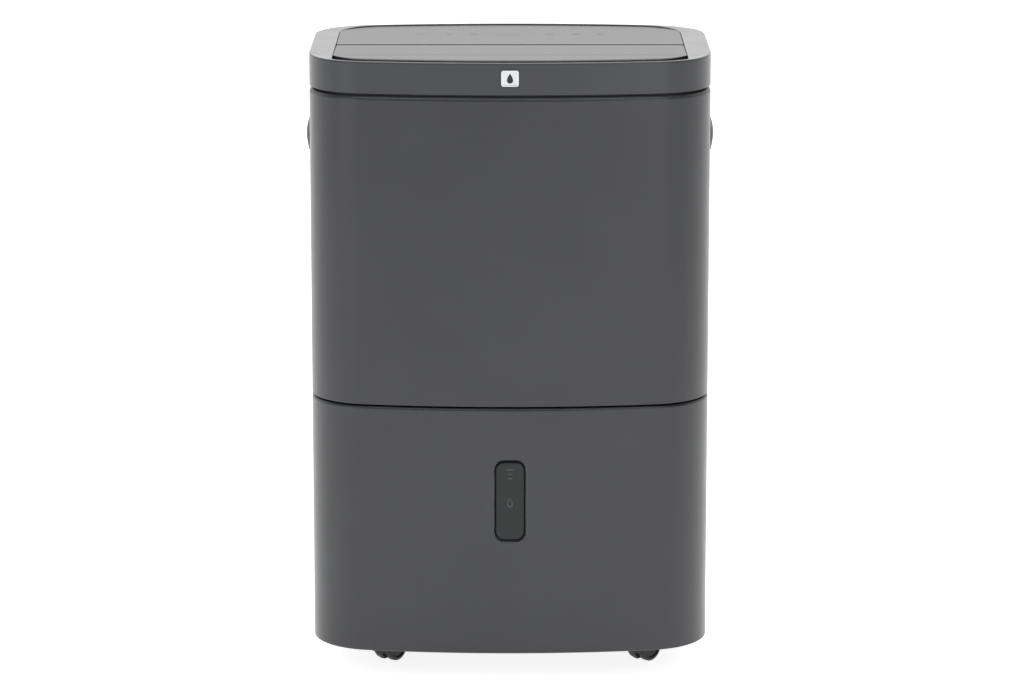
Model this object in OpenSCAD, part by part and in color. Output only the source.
// Free-standing compressor dehumidifier with a pull-out front tank.
// Millimetres. X is to the right seen from the front, Y is to the back, Z is up.
// The origin is on the floor under the middle of the cabinet.

/* [Cabinet] */
// Width of the cabinet, without the side grips
body_w = 392; // [388:1:400]
// Depth of the cabinet
body_d = 282; // [280:1:288]
// Height of the cabinet on its casters
body_h = 616; // [616:1:630]
// Radius of the four upright corners
corner_r = 65; // [62:1:68]
// Radius of the bowed front and back
bow_r = 850; // [820:10:900]
// Wall thickness of the cabinet shells
wall = 2.8; // [2.4:0.2:3.2]
// Height of the bottom edge of the skirt
skirt_z = 27.5; // [26:0.5:30]
// Height of the seam over the tank
mid_seam_z = 276; // [274:1:278]
// Height of the seam under the top cap
cap_seam_z = 582; // [580:1:583]
// Width of both seams
seam_gap = 3; // [2:0.5:3]
// Y of the upright seam between the front and rear shells
split_y = -58; // [-60:1:-56]

/* [Top] */
// Half width of the opening in the top cap
top_hw = 172; // [170:1:174]
// How far the front rim lies below the rest of the rim
front_rim_drop = 1.8; // [1:0.2:2]
// Gap between the flap's front edge and the front of the cap
flap_gap = 18; // [16:1:22]

/* [Tank] */
// Half width of the water bucket
bucket_hw = 166; // [160:1:168]
// Height of the bucket's rim
bucket_top = 232; // [230:1:233]
// Width of the water window
window_w = 30.4; // [26:0.4:34]
// Height of the water window
window_h = 81; // [70:1:88]
// Height of the middle of the water window
window_z = 182.5; // [178:0.5:188]
// Length of the tank handle's arms
handle_arm = 52; // [46:1:52]

/* [Casters] */
// Radius of a caster wheel
wheel_r = 14.5; // [13.5:0.5:14.5]
// X of the caster swivels, left and right of the middle
caster_x = 127; // [120:1:134]
// Y of the caster swivels, in front of and behind the middle
caster_y = 72; // [66:1:76]
// How far a wheel trails behind its swivel
caster_trail = 11; // [10:1:12]

/* [Air path] */
// Radius of the blower wheel
fan_r = 95; // [85:1:96]
// Height of the blower's axis
fan_z = 440; // [438:1:442]
// Number of blades
fan_blades = 28; // [20:1:32]
// Slot pitch of the rear intake grille
slot_pitch = 9; // [8:1:12]

/* [Hidden] */

$fn = 48;
eps = 0.4;                            // gap between pieces that are fixed face to face
badge_proud = 0.8;                    // how far the badge and the rear grille stand out
cap_z0 = cap_seam_z + seam_gap / 2;   // bottom edge of the top cap
shell_z1 = cap_seam_z - seam_gap / 2; // top edge of the shells
shell_z0 = mid_seam_z + seam_gap / 2; // bottom edge of the front shell
tank_z1 = mid_seam_z - seam_gap / 2;  // top edge of the tank front
rim_z = body_h - front_rim_drop;      // top of the front rim
panel_z = body_h - 1.2;               // top of the control panel and the flap
flap_axis = [-18, panel_z - 5];       // Y and Z of the flap's hinge
flap_back_y = -14;                    // rear edge of the flap
panel_front_y = -11;                  // front edge of the control panel
pan_z = 42;                           // top of the base pan
bay_roof_z = 300;                     // underside of the tank bay's roof
bay_back_y = -4;                      // front face of the tank bay's back wall
window_y = -body_d / 2 + 1.2;         // front face of the water window
handle_axis = [-66, bucket_top + 8];  // Y and Z of the tank handle's pivots
handle_x = 156;                       // middle of the handle's arms
float_axis = [-22, 222];              // Y and Z of the float's pivots
float_x = 110;                        // middle of the float arm
fan_y0 = -80;                         // front and rear faces of the blower housing
fan_y1 = -12;
coil_z0 = 322;                        // lowest and highest point of both coils
coil_z1 = 540;
coil_hw = 112;                        // half width of the finned blocks
condenser_y = 66;                     // middle planes of the coils
evaporator_y = 98;
coil_t = 26;                          // thickness of a finned block
tube_r = 3.5;                         // radius of the coil tubes
tube_gap = 6.5;                       // half the distance between a coil's two columns of tubes
tube_rows = 8;                        // tube passes per column
grip_z0 = 487;                        // lowest and highest point of a grip's pocket
grip_z1 = 546;
grip_hl = 48;                         // half length of a grip's pocket
grip_depth = 28;                      // depth of a grip's pocket
grip_lip = 5.5;                       // how far a grip's lip stands out of the side
lip_bar_r = 29;                       // radius of the bar that the lip is a slice of
lip_z0 = grip_z1 - 31;                // lowest and highest point of a lip
lip_z1 = grip_z1 + 2;
intake_hw = 149;                      // half width of the intake grille
intake_z0 = 323;
intake_z1 = 545;
spigot = [120, 110];                  // X and Z of the drain spigot
spigot_r = 8;
front_rim = 4;                        // width of the cap's rim in front of its opening
back_rim = 5.5;                       // and behind it
spigot_y0 = 107;                      // inner end of the spigot
gland = [-140, 95];                   // X and Z of the mains cord gland
gland_bore_r = 3.6;
gland_flange_r = 12;
comp = [-85, 74];                     // X and Y of the compressor's axis
comp_r = 56;
caster_angles = [52, 46, 20, -15];    // which way each wheel pair trails at rest
caster_places = [
    [-caster_x, -caster_y], [caster_x, -caster_y], [-caster_x, caster_y], [caster_x, caster_y]
];
screw_places = [for (x = [-120, 120], z = [60, 300, 558]) [x, z]];
cup_r = 20;                           // radius of the cup round the drain spigot
cup_y = 111;                          // its floor
grille_z = body_h - 22;               // underside of the outlet grille
tube_pitch = (coil_z1 - coil_z0) / tube_rows;
accumulator_at = [-8, 78];            // X and Y of the accumulator's axis
pipe_x = -146;                        // the pipes rise here, beside the drip tray
coil_end = -coil_hw - 2.4;            // the free ends of the coils' circuits
motor_screw_places = [for (a = [0, 120, 240]) [50 * sin(a), fan_z + 50 * cos(a)]];
hub_end_y = -48;                      // rear end of the blower's hub
charcoal = "#55575a";
charcoal_dark = "#3a3b3d";
steel = "#b9bcc0";
copper = "#b87333";

// Points of an arc. The last one is left out where the next arc starts on it.
function arc(c, r, a0, a1, n, last) =
    [for (i = [0:last ? n : n - 1]) c + r * [cos(a0 + (a1 - a0) * i / n), sin(a0 + (a1 - a0) * i / n)]];

// A rounded rectangle with bowed front and back, made of tangent arcs and set inwards by d.
// hw is the half width, yf and yb the front and back, rf and rb the corner radii.
function bowed(hw, yf, yb, rf, rb, d) =
    let (
        tf = asin((hw - rf) / (bow_r - rf)),
        tb = asin((hw - rb) / (bow_r - rb)),
        cf = [hw - rf, yf + bow_r - (bow_r - rf) * cos(tf)],
        cb = [hw - rb, yb - bow_r + (bow_r - rb) * cos(tb)]
    )
    concat(
        arc([0, yf + bow_r], bow_r - d, -90 - tf, -90 + tf, 20, false),
        arc(cf, rf - d, -90 + tf, 0, 10, true),
        arc(cb, rb - d, 0, 90 - tb, 10, false),
        arc([0, yb - bow_r], bow_r - d, 90 - tb, 90 + tb, 20, false),
        arc([-cb.x, cb.y], rb - d, 90 + tb, 180, 10, true),
        arc([-cf.x, cf.y], rf - d, 180, 270 - tf, 10, false)
    );

// The cabinet's outline, set inwards by d.
module plan(d = 0) {
    polygon(bowed(body_w / 2, -body_d / 2, body_d / 2, corner_r, corner_r, d));
}

// The opening in the top cap, set inwards by d. Its front follows the cabinet's front at a
// distance of front_rim, and turns into its straight sides with a small fillet.
module top_opening(d = 0) {
    hw = top_hw;
    rf = corner_r - front_rim;
    q = 8;
    tf = asin((body_w / 2 - corner_r) / (bow_r - corner_r));
    cf = [body_w / 2 - corner_r, bow_r - body_d / 2 - (bow_r - corner_r) * cos(tf)];
    fillet = [hw - q, cf.y - sqrt((rf - q) * (rf - q) - (hw - q - cf.x) * (hw - q - cf.x))];
    turn = atan2(fillet.y - cf.y, fillet.x - cf.x);
    yb = body_d / 2 - back_rim;
    rb = 50;
    tb = asin((hw - rb) / (bow_r - rb));
    cb = [hw - rb, yb - bow_r + (bow_r - rb) * cos(tb)];
    right = concat(
        arc([0, bow_r - body_d / 2], bow_r - front_rim - d, -90, -90 + tf, 12, false),
        arc(cf, rf - d, -90 + tf, turn, 8, false),
        arc(fillet, q - d, turn, 0, 6, true),
        arc(cb, rb - d, 0, 90 - tb, 10, false),
        arc([0, yb - bow_r], bow_r - d, 90 - tb, 90, 12, true)
    );
    left = [for (i = [len(right) - 2:-1:1]) [-right[i].x, right[i].y]];
    polygon(concat(right, left));
}

module ring(d0, d1) {
    difference() {
        plan(d0);
        plan(d1);
    }
}

// Everything between two heights.
module tall(z0, z1) {
    translate([0, 0, z0]) linear_extrude(z1 - z0) children();
}

// The half plane in front of y, and the one behind it.
module ahead_of(y) {
    translate([-body_w, -body_d - 1000]) square([2 * body_w, y + body_d + 1000]);
}

module behind(y) {
    translate([-body_w, y]) square([2 * body_w, 1000]);
}

module box(p0, p1) {
    translate(p0) cube(p1 - p0);
}

// A rod along X or Y from a to b.
module rod_x(p, r, a, b) {
    translate([a, p.x, p.y]) rotate([0, 90, 0]) cylinder(r = r, h = b - a);
}

module rod_y(p, r, a, b) {
    translate([p.x, a, p.y]) rotate([-90, 0, 0]) cylinder(r = r, h = b - a);
}

// A plate in the XZ plane, from y0 to y1, whose outline is the 2D child.
module upright(y0, y1) {
    translate([0, y1, 0]) rotate([90, 0, 0]) linear_extrude(y1 - y0) children();
}

// A rectangle with round corners, centred on c.
module pill(c, w, h, r) {
    translate(c) {
        square([w - 2 * r, h], center = true);
        square([w, h - 2 * r], center = true);
        for (i = [-1, 1], j = [-1, 1]) translate([i * (w / 2 - r), j * (h / 2 - r)]) circle(r);
    }
}

// ---- Top ----

module top_cap() {
    color(charcoal) difference() {
        union() {
            tall(cap_z0, rim_z - 3) ring(0, wall);
            tall(rim_z - 3.5, rim_z) difference() {
                plan();
                top_opening();
            }
            // The rim is higher along the sides and the back than in front of the flap.
            tall(rim_z - 0.1, body_h) difference() {
                intersection() {
                    ring(0, 9);
                    behind(-90);
                }
                top_opening();
            }
            // A flange round the opening carries the flap's hinge.
            tall(body_h - 16, rim_z - 3) difference() {
                top_opening(-3.2);
                top_opening();
            }
            // A ledge under the control panel.
            tall(panel_z - 5.6, panel_z - 3.2) intersection() {
                difference() {
                    top_opening(-1);
                    top_opening(6);
                }
                behind(panel_front_y + 2);
            }
            // A neck inside the shells locates the cap.
            tall(shell_z1 - 14, rim_z - 3) ring(6, 8.4);
            tall(rim_z - 8, rim_z - 3) ring(2, 8);
        }
        for (s = [-1, 1]) rod_x(flap_axis, 1.55, s * (top_hw + 2) - 3, s * (top_hw + 2) + 3);
        upright(-body_d, -body_d / 2 + 0.7) badge_outline(0.3);
    }
}

module control_panel() {
    color("#8f9294") tall(panel_z - 3, panel_z) intersection() {
        top_opening(0.5);
        behind(panel_front_y);
    }
}

module touch_board() {
    color("#1f5a3a") box([-115, 44, panel_z - 9], [115, 78, panel_z - 7.4]);
    color("#d8d8d0") for (i = [-4:4]) {
        box([i * 25.5 - 5, 56, panel_z - 7.2], [i * 25.5 + 5, 66, panel_z - 3.4]);
    }
    color("#222") box([92, 47, panel_z - 16], [108, 55, panel_z - 9.2]);
}

module outlet_flap() {
    color("#8f9294") {
        difference() {
            tall(panel_z - 4, panel_z) intersection() {
                top_opening(1.5);
                plan(flap_gap);
                ahead_of(flap_back_y);
            }
            // The front edge is rounded over.
            translate([0, 0, panel_z - 2]) tall(0, 3) difference() {
                plan();
                plan(flap_gap + 2);
                behind(flap_axis.x);
            }
        }
        for (s = [-1, 1]) {
            box([s * (top_hw - 4) - 1.5, flap_axis.x - 3, flap_axis.y - 3],
                [s * (top_hw - 4) + 1.5, flap_axis.x + 1.6, panel_z - 3.9]);
            rod_x(flap_axis, 1.5, min(s * (top_hw - 5), s * (top_hw + 2.8)),
                max(s * (top_hw - 5), s * (top_hw + 2.8)));
        }
    }
}

module outlet_grille() {
    x = 155;
    y0 = -113;
    y1 = -24;
    color(charcoal_dark) {
        difference() {
            box([-x, y0, grille_z], [x, y1, grille_z + 6]);
            box([-x + 4, y0 + 4, grille_z - 1], [x - 4, y1 - 4, grille_z + 7]);
        }
        for (i = [1:8]) {
            box([-x + 3, y0 + 9.8 * i - 1, grille_z + 0.5], [x - 3, y0 + 9.8 * i + 1, grille_z + 5.5]);
        }
        for (px = [-80, 0, 80]) {
            box([px - 1.5, y0 + 3, grille_z + 1], [px + 1.5, y1 - 3, grille_z + 4]);
        }
    }
}

// A plain tile in the middle of the cap's front, grown by d.
module badge_outline(d) {
    pill([0, (cap_z0 + body_h) / 2], 17 + 2 * d, 16 + 2 * d, 2.5 + d);
}

module badge() {
    color("#c8cacc") upright(-body_d / 2 - badge_proud, -body_d / 2 + 0.6) badge_outline(0);
}

// ---- Cabinet ----

module front_shell() {
    color(charcoal) difference() {
        union() {
            tall(shell_z0, shell_z1) intersection() {
                ring(0, wall);
                ahead_of(split_y - eps);
            }
            // Flanges stiffen the top and bottom edges.
            for (z = [shell_z0, shell_z1 - 2.5]) tall(z, z + 2.5) intersection() {
                ring(1, 5.4);
                ahead_of(split_y - eps);
            }
        }
    }
}

// The holes for the grips, the rear grille, the drain cup, the cord gland and the screws.
module rear_cutouts() {
    box([-body_w, -grip_hl - 0.4, grip_z0 - 0.4], [body_w, grip_hl + 0.4, grip_z1 + 0.4]);
    box([-intake_hw - 1, 90, intake_z0 - 1], [intake_hw + 1, body_d, intake_z1 + 1]);
    rod_y(spigot, cup_r - 2, cup_y + 2.5, body_d);
    rod_y(spigot, spigot_r - 0.2, 100, body_d);
    rod_y(gland, 9.1, 108, body_d);
    rod_y(gland, gland_flange_r + 0.5, back_y(gland.x) + 0.3, body_d);
    for (p = screw_places) rod_y(p, 2, 100, body_d);
}

module rear_shell() {
    color(charcoal) difference() {
        union() {
            tall(skirt_z, shell_z1) intersection() {
                ring(0, wall);
                behind(split_y + eps);
            }
            // A ledge that the base pan is screwed to.
            tall(pan_z - 7.5, pan_z - 4.3) intersection() {
                ring(1, 9);
                behind(split_y + eps);
            }
            // Stops beside the intake opening.
            for (s = [-1, 1]) box([s * 153 - 1.5, 112, intake_z0], [s * 153 + 1.5, 124, intake_z1]);
            // A hook behind the gland takes the pull off the mains lead.
            box([gland.x - 6, 101, gland.y - 19], [gland.x + 3, 128, gland.y - 15]);
            box([gland.x - 6, 101, gland.y - 19], [gland.x + 3, 104, gland.y + 12]);
            // A boss gives the gland's flange a flat seat.
            rod_y(gland, gland_flange_r + 1, back_y(gland.x) - 3, back_y(gland.x) + 0.3);
            // The cup round the drain spigot ends flush with the back.
            intersection() {
                rod_y(spigot, cup_r, cup_y, body_d);
                tall(skirt_z, mid_seam_z) plan(0.2);
            }
        }
        rear_cutouts();
    }
}

function back_y(x) = body_d / 2 - bow_r + sqrt(bow_r * bow_r - x * x);

module rear_screws() {
    color(steel) for (p = screw_places) {
        rod_y(p, 1.8, back_y(p.x) - 12, back_y(p.x) + 1);
        difference() {
            rod_y(p, 3.8, back_y(p.x) + 0.4, back_y(p.x) + 2.8);
            box([p.x - 2.6, back_y(p.x) + 1.7, p.y - 0.5], [p.x + 2.6, back_y(p.x) + 4, p.y + 0.5]);
            box([p.x - 0.5, back_y(p.x) + 1.7, p.y - 2.6], [p.x + 0.5, back_y(p.x) + 4, p.y + 2.6]);
        }
    }
}

module base_pan() {
    color(charcoal_dark) difference() {
        union() {
            tall(pan_z - 4, pan_z) plan(3.6);
            for (p = caster_places) translate([p.x, p.y, wheel_r * 2 + 4]) cylinder(r = 8, h = 6);
            // Runners under the tank.
            for (x = [-120, 0, 120]) box([x - 4, -118, pan_z - 1], [x + 4, -14, pan_z + 2.6]);
            // Upstand round the compressor well.
            box([-170, 8, pan_z - 1], [-167.5, 106, pan_z + 10]);
            box([8, 8, pan_z - 1], [10.5, 126, pan_z + 10]);
        }
        for (p = caster_places) translate([p.x, p.y, 0]) cylinder(r = 4.05, h = 60);
    }
}

module bay_bulkhead() {
    color("#6a6c6e") difference() {
        union() {
            box([-188, bay_back_y, pan_z + eps], [188, bay_back_y + 2.5, bay_roof_z + 2.5]);
            tall(bay_roof_z, bay_roof_z + 2.5) intersection() {
                plan(6);
                ahead_of(bay_back_y + 2.5);
            }
        }
        translate([0, -30, 250]) cylinder(r = 9, h = 80);
        rod_y([60, 200], 3.2, -20, 20);
    }
}

// A finger pocket in the side with a lip that bulges over its upper half. s is 1 on the right.
module grip(s) {
    x0 = body_w / 2 - grip_depth;
    x1 = body_w / 2;
    color("#2b2c2e") mirror([s > 0 ? 0 : 1, 0, 0]) {
        difference() {
            box([x0, -grip_hl, grip_z0], [x1 - 0.2, grip_hl, grip_z1]);
            box([x0 + 2.2, 2.2 - grip_hl, grip_z0 + 2.2], [x1 + 9, grip_hl - 2.2, grip_z1 - 2.2]);
        }
        difference() {
            intersection() {
                // The bulge is a slice of a round bar along Y.
                translate([x1 + grip_lip - lip_bar_r, 0, (lip_z0 + lip_z1) / 2]) rotate([90, 0, 0])
                    cylinder(r = lip_bar_r, h = 2 * grip_hl + 6, center = true);
                box([x1 + 0.1, -grip_hl - 3, lip_z0], [x1 + 10, grip_hl + 3, lip_z1]);
            }
            // Fingers reach up behind the lip.
            box([x1 - 1, 6 - grip_hl, grip_z0 + 12], [x1 + 2.5, grip_hl - 6, grip_z1 - 6]);
        }
        for (y = [3 - grip_hl, grip_hl - 3])
            box([x1 - 4, y - 2.8, lip_z0 + 2], [x1 + 1, y + 2.8, grip_z1 - 0.2]);
        box([x1 - 4, 1 - grip_hl, grip_z1 - 5], [x1 + 1, grip_hl - 1, grip_z1 - 0.2]);
    }
}

module intake_grille() {
    color(charcoal) difference() {
        tall(intake_z0, intake_z1) intersection() {
            ring(-badge_proud, wall);
            behind(90);
            translate([-intake_hw, 0]) square([2 * intake_hw, body_d]);
        }
        for (z = [intake_z0 + 12 : slot_pitch : intake_z1 - 16], x = [-104, 0, 104]) {
            box([x - 46, 100, z], [x + 46, body_d, z + slot_pitch - 3.6]);
        }
        // Finger notch for pulling the grille off.
        box([-22, 100, intake_z1 - 7], [22, body_d, intake_z1 + 1]);
    }
}

module filter_frame() {
    y0 = 120.6;
    y1 = 124.6;
    color("#6a6c6e") difference() {
        box([-140, y0, 330], [140, y1, 536]);
        for (i = [-1, 0, 1]) box([i * 91 - 43.5, y0 - 1, 335], [i * 91 + 43.5, y1 + 1, 531]);
        // A groove that holds the mesh.
        box([-137, y0 + 1.5, 333], [137, y0 + 2.5, 533]);
    }
    // Pegs clip the frame to the grille.
    color("#6a6c6e") for (x = [-137.2, 137.2], z = [340, 526]) rod_y([x, z], 2.2, y1 - 0.5, 126.4);
}

module filter_mesh() {
    color("#7d8286") box([-136, 122.3, 334], [136, 122.9, 532]);
}

module drain_spigot() {
    color(charcoal_dark) difference() {
        union() {
            rod_y(spigot, spigot_r - 0.6, spigot_y0, spigot_y0 + 10);
            rod_y(spigot, spigot_r, cup_y + 3, cup_y + 25);
            rod_y(spigot, 13, spigot_y0, spigot_y0 + 3);
        }
        rod_y(spigot, 5.5, 90, 150);
    }
}

// The hose from the drip tray's second outlet down to the spigot.
module drain_hose() {
    bend = 18;
    y = spigot_y0 - 0.3 - bend;
    color("#2a2b2d") difference() {
        union() {
            translate([spigot.x, y, spigot.y + bend - 0.01])
                cylinder(r = spigot_r, h = 303.6 - spigot.y - bend);
            hose_bend(y, bend, spigot_r);
        }
        translate([spigot.x, y, spigot.y + bend - 0.02]) cylinder(r = 5.5, h = 300);
        hose_bend(y, bend, 5.5);
    }
}

// A quarter turn from straight down to straight back.
module hose_bend(y, bend, r) {
    translate([spigot.x, y + bend, spigot.y + bend]) rotate([0, -90, 0]) rotate([0, 0, 180])
        rotate_extrude(angle = 90) translate([bend, 0]) circle(r);
}

module cord_gland() {
    y = back_y(gland.x);
    color("#1c1c1d") difference() {
        union() {
            rod_y(gland, 9, y - 8, y + 1);
            rod_y(gland, gland_flange_r, y + 0.4, y + 4);
            rod_y(gland, 7, y + 3, y + 10);
            rod_y(gland, gland_flange_r, y - 12, y - 7);
        }
        rod_y(gland, gland_bore_r, y - 20, y + 20);
    }
}

// ---- Refrigeration ----

module drip_tray() {
    color("#d9dbdc") difference() {
        union() {
            box([-132, 48, 304], [132, 116, 318]);
            box([-16, -42, 304], [16, 50, 313]);
            translate([0, -30, 290]) cylinder(r = 8, h = 16);
        }
        box([-130, 50, 306.5], [130, 114, 330]);
        box([-13.5, -39.5, 306.5], [13.5, 60, 330]);
        translate([0, -30, 280]) cylinder(r = 6, h = 40);
    }
}

module coil_shroud() {
    color("#2f3032") difference() {
        box([-134, 14, 320], [134, 116, 548]);
        box([-131.5, 16.5, 317], [131.5, 130, 545.5]);
        rod_y([0, fan_z], 88, 0, 30);
        // A notch lets the pipes in.
        box([-140, 50, 317], [-130, 112, 344]);
    }
}

function tube_z(i) = coil_z0 + tube_pitch * (i + 0.5);

// A finned block with bores for two columns of tubes.
module fins(y) {
    difference() {
        box([-coil_hw, y - coil_t / 2, coil_z0], [coil_hw, y + coil_t / 2, coil_z1]);
        for (c = [-1, 1], i = [0:tube_rows - 1]) {
            rod_x([y + c * tube_gap, tube_z(i)], tube_r + 0.05, -coil_hw - 5, coil_hw + 5);
        }
    }
}

// A half turn of tube of radius r beyond the fins, standing upright or lying flat.
module return_bend(y, z, s, r, turn) {
    translate([s * (coil_hw + 0.5), y, z]) rotate([turn, 0, 0]) rotate([0, 0, s > 0 ? -90 : 90])
        rotate_extrude(angle = 180, $fn = 32) translate([r, 0]) circle(tube_r - 0.4, $fn = 16);
}

// One circuit: two columns of passes, joined at the top by a bend that lies flat.
module tubes(y) {
    for (c = [-1, 1]) {
        for (i = [0:tube_rows - 1]) {
            rod_x([y + c * tube_gap, tube_z(i)], tube_r, -coil_hw - 2, coil_hw + 2, $fn = 24);
        }
        for (i = [0:tube_rows - 2]) {
            return_bend(y + c * tube_gap, tube_z(i + 0.5), i % 2 == 0 ? 1 : -1, tube_pitch / 2, 90);
        }
    }
    return_bend(y, tube_z(tube_rows - 1), -1, tube_gap, 0);
}

// The compressor's can is open below, where its base plate closes it.
module compressor_can() {
    color("#202123") translate([comp.x, comp.y, 66]) rotate_extrude() polygon(concat(
        [[0, 180], [0, 188]],
        [for (i = [0:8]) [(comp_r - 24) + 24 * sin(11.25 * i), 164 + 24 * cos(11.25 * i)]],
        [[comp_r, 0], [comp_r - 8, 0]],
        [for (i = [0:8]) [(comp_r - 24) + 16 * cos(11.25 * i), 164 + 16 * sin(11.25 * i)]]
    ));
    color("#202123") translate([comp.x + 12, comp.y + 6, 250]) cylinder(r = 13, h = 14);
}

function foot_place(i) = comp + 64 * [cos(120 * i + 30), sin(120 * i + 30)];

module compressor_base() {
    color("#202123") difference() {
        union() {
            translate([comp.x, comp.y, 61]) cylinder(r = comp_r - 1, h = 4.6);
            for (i = [0:2]) hull() {
                translate([foot_place(i).x, foot_place(i).y, 61]) cylinder(r = 10, h = 3, $fn = 32);
                translate([comp.x, comp.y, 61]) cylinder(r = 20, h = 3, $fn = 32);
            }
        }
        for (i = [0:2]) translate([foot_place(i).x, foot_place(i).y, 50]) cylinder(r = 6.2, h = 30);
    }
}

module compressor_feet() {
    color("#161617") for (i = [0:2]) translate([foot_place(i).x, foot_place(i).y, 0]) difference() {
        union() {
            translate([0, 0, pan_z + 0.2]) cylinder(r = 9.5, h = 18.6);
            translate([0, 0, 60.6]) cylinder(r = 6, h = 5);
            translate([0, 0, 64.4]) cylinder(r = 7.5, h = 3);
        }
        translate([0, 0, 30]) cylinder(r = 3.3, h = 50);
    }
}

module compressor_bolts() {
    color(steel) for (i = [0:2]) translate([foot_place(i).x, foot_place(i).y, 0]) {
        translate([0, 0, pan_z + 0.4]) cylinder(r = 3, h = 32);
        translate([0, 0, 67.8]) cylinder(r = 7.5, h = 1.2);
        translate([0, 0, 69]) cylinder(r = 5.5, h = 4.5, $fn = 6);
    }
}

module accumulator() {
    color("#202123") translate([accumulator_at.x, accumulator_at.y, 100]) {
        cylinder(r = 19, h = 110);
        translate([0, 0, 110]) cylinder(r1 = 19, r2 = 7, h = 14);
        translate([0, 0, -12]) cylinder(r1 = 7, r2 = 19, h = 12);
    }
}

// A brazed pipe through the points. Each joint is a little thicker than the pipe.
module pipe(points, r) {
    for (i = [0:len(points) - 2]) {
        d = points[i + 1] - points[i];
        l = norm(d);
        translate(points[i]) rotate([0, acos(d.z / l), atan2(d.y, d.x)]) cylinder(r = r, h = l);
        if (i > 0) translate(points[i]) sphere(r = r + 0.5);
    }
}

module suction_pipe() {
    color(copper) pipe([
        [accumulator_at.x, accumulator_at.y, 224.2], [accumulator_at.x, accumulator_at.y, 280],
        [pipe_x, evaporator_y + tube_gap, 280], [pipe_x, evaporator_y + tube_gap, tube_z(0)],
        [coil_end, evaporator_y + tube_gap, tube_z(0)]
    ], 3.4);
}

module discharge_pipe() {
    color(copper) pipe([
        [comp.x + 12, comp.y + 6, 264.2], [comp.x + 12, comp.y + 6, 292],
        [pipe_x, condenser_y - tube_gap, 292], [pipe_x, condenser_y - tube_gap, tube_z(0)],
        [coil_end, condenser_y - tube_gap, tube_z(0)]
    ], 3.4);
}

// The drier, with the pipe that feeds it and the thin one that leaves it.
module filter_drier() {
    x = -162;
    y = 82;
    color(copper) {
        translate([x, y, 372]) cylinder(r = 9, h = 60);
        translate([x, y, 431]) cylinder(r1 = 8.6, r2 = 3, h = 12);
        translate([x, y, 361]) cylinder(r1 = 3, r2 = 8.6, h = 12);
        pipe([
            [coil_end, condenser_y + tube_gap, tube_z(0)], [x, condenser_y + tube_gap, tube_z(0)],
            [x, y, 348], [x, y, 365]
        ], 2.6);
        pipe([
            [x, y, 440], [x, y, 458], [pipe_x, evaporator_y - tube_gap, 452],
            [pipe_x, evaporator_y - tube_gap, tube_z(0)], [coil_end, evaporator_y - tube_gap, tube_z(0)]
        ], 1.6);
    }
}

// ---- Blower ----

// The blower's spiral in the XZ plane, set outwards by d, with its throat opening upwards.
function spiral(d) = concat(
    [for (a = [100:10:360]) (fan_r + 7 + d + 30 * (a - 100) / 260) * [cos(a), sin(a)] + [0, fan_z]],
    [[fan_r + 37 + d, 560], [-18 - d, 560]]
);

module scroll_half(y0, y1, plate_y, hole_r) {
    difference() {
        upright(y0, y1) polygon(spiral(2));
        upright(plate_y == y0 ? y0 + 2 : y0 - 1, plate_y == y0 ? y1 + 1 : y1 - 2) union() {
            polygon(spiral(0));
            translate([-18, 550]) square([fan_r + 55, 20]);
        }
        rod_y([0, fan_z], hole_r, y0 - 5, y1 + 5);
    }
}

module scroll_front() {
    color("#2f3032") scroll_half(fan_y0, -46.2, fan_y0, 22);
}

module scroll_rear() {
    color("#2f3032") scroll_half(-45.8, fan_y1, fan_y1, 76);
}

module outlet_duct() {
    color("#2f3032") difference() {
        box([-153, -112, 561], [153, -4, grille_z - 0.4]);
        box([-151, -110, 563], [151, -20, grille_z + 1]);
        box([-150, -22, 563], [150, -6, 590]);
        box([-18, -78, 550], [fan_r + 37, -14, 570]);
    }
}

module fan_motor() {
    color("#3c3e42") difference() {
        union() {
            rod_y([0, fan_z], 41, -126, -84);
            rod_y([0, fan_z], 18, -85, -81.4);
            for (a = [0, 120, 240]) translate([0, 0, fan_z]) rotate([0, a, 0])
                box([-7, -86, 0], [7, -82.5, 56]);
        }
        rod_y([0, fan_z], 4.06, -120, -60);
        for (p = motor_screw_places) rod_y(p, 2.2, -90, -70);
    }
}

module motor_screws() {
    color(steel) for (p = motor_screw_places) {
        rod_y(p, 1.9, -89, -80.4);
        rod_y(p, 4, -88.6, -86.2);
    }
}

module fan_wheel() {
    y0 = -76;
    y1 = -19;
    color("#d8dadb") {
        difference() {
            union() {
                rod_y([0, fan_z], fan_r, y0, y0 + 2);
                rod_y([0, fan_z], 13, y0, y0 + 26);
            }
            rod_y([0, fan_z], 4, y0 - 1, y0 + 40);
        }
        difference() {
            rod_y([0, fan_z], fan_r, y1 - 3, y1);
            rod_y([0, fan_z], fan_r - 15, y1 - 4, y1 + 1);
        }
        for (i = [0:fan_blades - 1]) translate([0, 0, fan_z]) rotate([0, i * 360 / fan_blades, 0])
            translate([0, 0, fan_r - 8]) rotate([0, 35, 0])
                box([-0.8, y0 + 1.5, -6.5], [0.8, y1 - 2.5, 6.5]);
    }
}

module motor_shaft() {
    color(steel) rod_y([0, fan_z], 4, -119, hub_end_y);
}

// ---- Electrics ----

module control_box() {
    color("#e4e5e3") difference() {
        box([142, -60, 330], [186, 46, 470]);
        box([144, -58, 332], [184, 44, 480]);
    }
}

module main_board() {
    color("#1f5a3a") box([146, -54, 336], [147.6, 40, 462]);
    color("#222") for (p = [[-40, 350], [-10, 352], [14, 400], [-36, 410]])
        box([147.7, p.x, p.y], [158, p.x + 16, p.y + 22]);
}

module run_capacitor() {
    color(steel) translate([171, -38, 334]) cylinder(r = 11, h = 60);
    color(steel) for (x = [-4, 4]) box([171 + x - 1, -40, 394], [171 + x + 1, -36, 402]);
}

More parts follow.
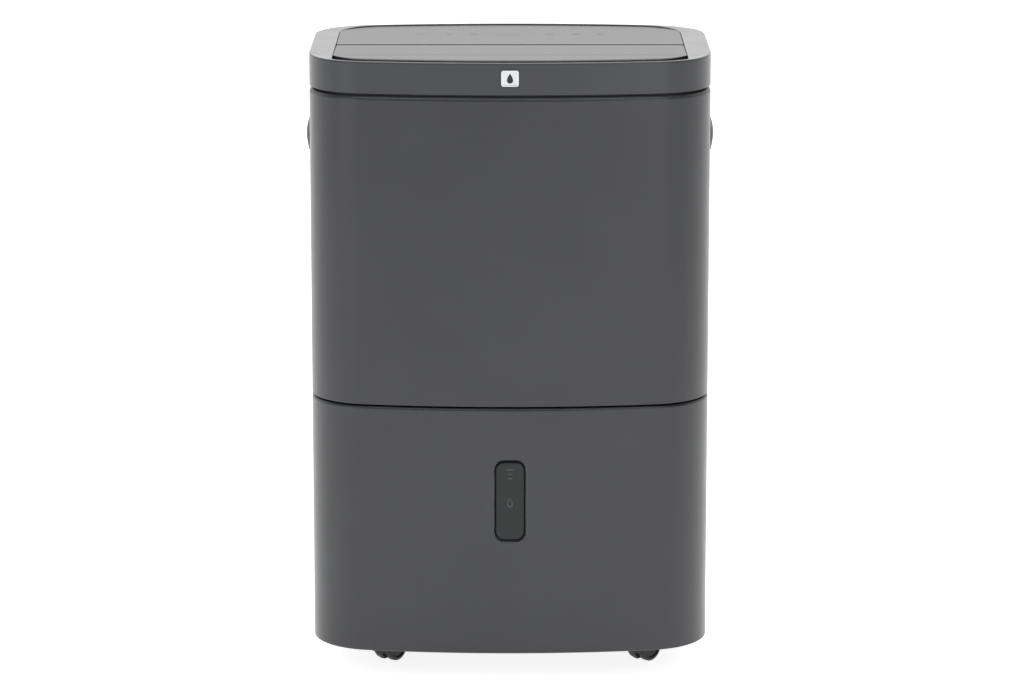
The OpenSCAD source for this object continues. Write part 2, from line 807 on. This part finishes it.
module tank_switch() {
    color("#1c1c1d") difference() {
        box([46, bay_back_y + 2.7, 190], [74, bay_back_y + 14, 210]);
        rod_y([60, 200], 2.05, bay_back_y, bay_back_y + 11);
    }
}

module switch_plunger() {
    color("#c23b2e") rod_y([60, 200], 2, bay_back_y - 3.4, bay_back_y + 8);
    color("#c23b2e") rod_y([60, 200], 2.9, bay_back_y - 3.6, bay_back_y - 1.9);
}

// ---- Tank ----

module bucket_plan(d) {
    intersection() {
        plan(3.6 + d);
        translate([-bucket_hw + d, -body_d]) square([2 * (bucket_hw - d), body_d - 8 - d]);
    }
}

module tank_front() {
    color(charcoal) difference() {
        union() {
            tall(skirt_z, tank_z1) intersection() {
                ring(0, wall);
                ahead_of(split_y - eps);
            }
            // The top edge turns inwards as a shelf.
            tall(tank_z1 - 2.6, tank_z1) intersection() {
                ring(1, 12);
                ahead_of(split_y - eps);
            }
            // Ribs reach the bucket's sides, and pads bond its front.
            for (s = [-1, 1], z = [90, 180]) {
                box([s * 180.5 - 13.5, -80, z], [s * 180.5 + 13.5, -77, z + 30]);
                tall(z, z + 30) intersection() {
                    ring(2, 3.55);
                    translate([s * 75 - 15, -body_d]) square([30, body_d]);
                }
            }
        }
        upright(-body_d, -100) pill([0, window_z], window_w + 0.8, window_h + 0.8, 10);
    }
}

module tank_bucket() {
    color([0.62, 0.64, 0.66, 0.8]) {
        difference() {
            union() {
                tall(45, bucket_top) bucket_plan(0);
                for (s = [-1, 1]) box([float_x + s * 10 - 1.5, -14, 214], [float_x + s * 10 + 1.5, -9, 228]);
            }
            tall(47.4, bucket_top + 1) bucket_plan(2.2);
        }
        // Lugs that carry the float.
        for (s = [-1, 1]) difference() {
            box([float_x + s * 10 - 1.5, -27, 216], [float_x + s * 10 + 1.5, -10, 228]);
            rod_x(float_axis, 1.55, float_x - 15, float_x + 15);
        }
    }
}

module tank_window() {
    color([0.18, 0.19, 0.2, 0.75]) upright(window_y, window_y + 2.1)
        pill([0, window_z], window_w, window_h, 9.6);
}

module tank_lid() {
    z0 = bucket_top + 0.3;
    color([0.55, 0.57, 0.59]) {
        difference() {
            union() {
                tall(z0, z0 + 2.5) bucket_plan(0);
                tall(z0 - 4, z0 + 1) difference() {
                    bucket_plan(2.6);
                    bucket_plan(4.2);
                }
                // Ears that carry the handle.
                for (s = [-1, 1]) box([s * 150 - 2, handle_axis.x - 5, z0 + 1],
                    [s * 150 + 2, handle_axis.x + 5, handle_axis.y + 5]);
                // A low wall guides the drips to the hole.
                box([-34, -46, z0 + 1], [-32, -26, z0 + 5]);
                box([32, -46, z0 + 1], [34, -26, z0 + 5]);
            }
            for (x = [-24:12:24]) box([x - 3.5, -44, z0 - 5], [x + 3.5, -28, z0 + 4]);
            // Pouring hole in the front corner.
            translate([-126, -98, z0 - 5]) cylinder(r = 15, h = 12);
            for (s = [-1, 1]) rod_x(handle_axis, 3.05, s * 150 - 4, s * 150 + 4);
        }
    }
}

module tank_handle() {
    color("#8d9093") {
        for (s = [-1, 1]) {
            rod_x(handle_axis, 3, s * 151 - 3.5, s * 151 + 3.5);
            rod_x(handle_axis, 4, s * handle_x - 3, s * handle_x + 3);
            box([s * handle_x - 3, handle_axis.x, handle_axis.y - 4],
                [s * handle_x + 3, handle_axis.x + handle_arm, handle_axis.y + 4]);
        }
        box([-handle_x - 3, handle_axis.x + handle_arm - 8, handle_axis.y - 4],
            [handle_x + 3, handle_axis.x + handle_arm, handle_axis.y + 4]);
        // A thicker grip in the middle.
        rod_x([handle_axis.x + handle_arm - 4, handle_axis.y], 4.4, -48, 48);
    }
}

module tank_float() {
    color("#f2f2ee") difference() {
        union() {
            rod_x(float_axis, 1.5, float_x - 11.4, float_x + 11.4);
            rod_x(float_axis, 3.6, float_x - 7.5, float_x + 7.5);
            box([float_x - 7.5, -60, float_axis.y - 3], [float_x + 7.5, float_axis.x, float_axis.y]);
            box([float_x - 18, -84, 196], [float_x + 18, -50, float_axis.y - 2]);
        }
        translate([float_x, -67, 214]) cylinder(r = 5.1, h = 10);
    }
}

module float_magnet() {
    color("#55585c") translate([float_x, -67, 214.2]) cylinder(r = 5, h = 4);
}

// ---- Casters ----

// Places its children at a caster's swivel, turned the way that caster trails.
module at_caster(i) {
    translate([caster_places[i].x, caster_places[i].y, 0]) rotate([0, 0, caster_angles[i]]) children();
}

// The swivel housing: stem, crown, the web between the wheels and the hood over them.
module caster(i) {
    top = wheel_r * 2;
    color("#18191a") at_caster(i) {
        translate([0, 0, top + 1]) cylinder(r = 4, h = pan_z - top - 1.4);
        translate([0, 0, top + 1]) cylinder(r = 11, h = 2.6);
        intersection() {
            rod_y([caster_trail, wheel_r], wheel_r + 2.4, -2.6, 2.6);
            box([-20, -5, 3], [caster_trail + wheel_r, 5, top + 2]);
        }
        box([-9, -2.6, 12], [caster_trail, 2.6, top + 2]);
        rod_y([caster_trail, wheel_r], 2.5, -11, 11);
    }
}

// The two wheels of a caster, on either side of its web.
module wheels(i) {
    color("#222325") at_caster(i) for (s = [-1, 1]) difference() {
        union() {
            rod_y([caster_trail, wheel_r], wheel_r, s * 7 - 3.2, s * 7 + 3.2);
            rod_y([caster_trail, wheel_r], wheel_r - 2.6, s * 7 - 4, s * 7 + 4);
        }
        rod_y([caster_trail, wheel_r], 2.55, s * 7 - 9, s * 7 + 9);
        for (a = [0:60:300]) translate([caster_trail, s * 12, wheel_r]) rotate([0, a, 0])
            translate([7.4, 0, 0]) rotate([90, 0, 0]) cylinder(r = 2.1, h = 3.6, center = true, $fn = 24);
    }
}

top_cap();
control_panel();
touch_board();
outlet_flap();
outlet_grille();
badge();
front_shell();
rear_shell();
rear_screws();
base_pan();
bay_bulkhead();
grip(-1);  // grip_left
grip(1);  // grip_right
intake_grille();
filter_frame();
filter_mesh();
drain_spigot();
drain_hose();
cord_gland();
drip_tray();
coil_shroud();
color(steel) fins(evaporator_y);  // evaporator_fins
color(copper) tubes(evaporator_y);  // evaporator_tubes
color(steel) fins(condenser_y);  // condenser_fins
color(copper) tubes(condenser_y);  // condenser_tubes
compressor_can();
compressor_base();
compressor_feet();
compressor_bolts();
accumulator();
suction_pipe();
discharge_pipe();
filter_drier();
scroll_front();
scroll_rear();
outlet_duct();
fan_motor();
motor_screws();
fan_wheel();
motor_shaft();
control_box();
main_board();
run_capacitor();
tank_switch();
switch_plunger();
tank_front();
tank_bucket();
tank_window();
tank_lid();
tank_handle();
tank_float();
float_magnet();
caster(0);  // caster_front_left
wheels(0);  // wheels_front_left
caster(1);  // caster_front_right
wheels(1);  // wheels_front_right
caster(2);  // caster_rear_left
wheels(2);  // wheels_rear_left
caster(3);  // caster_rear_right
wheels(3);  // wheels_rear_right
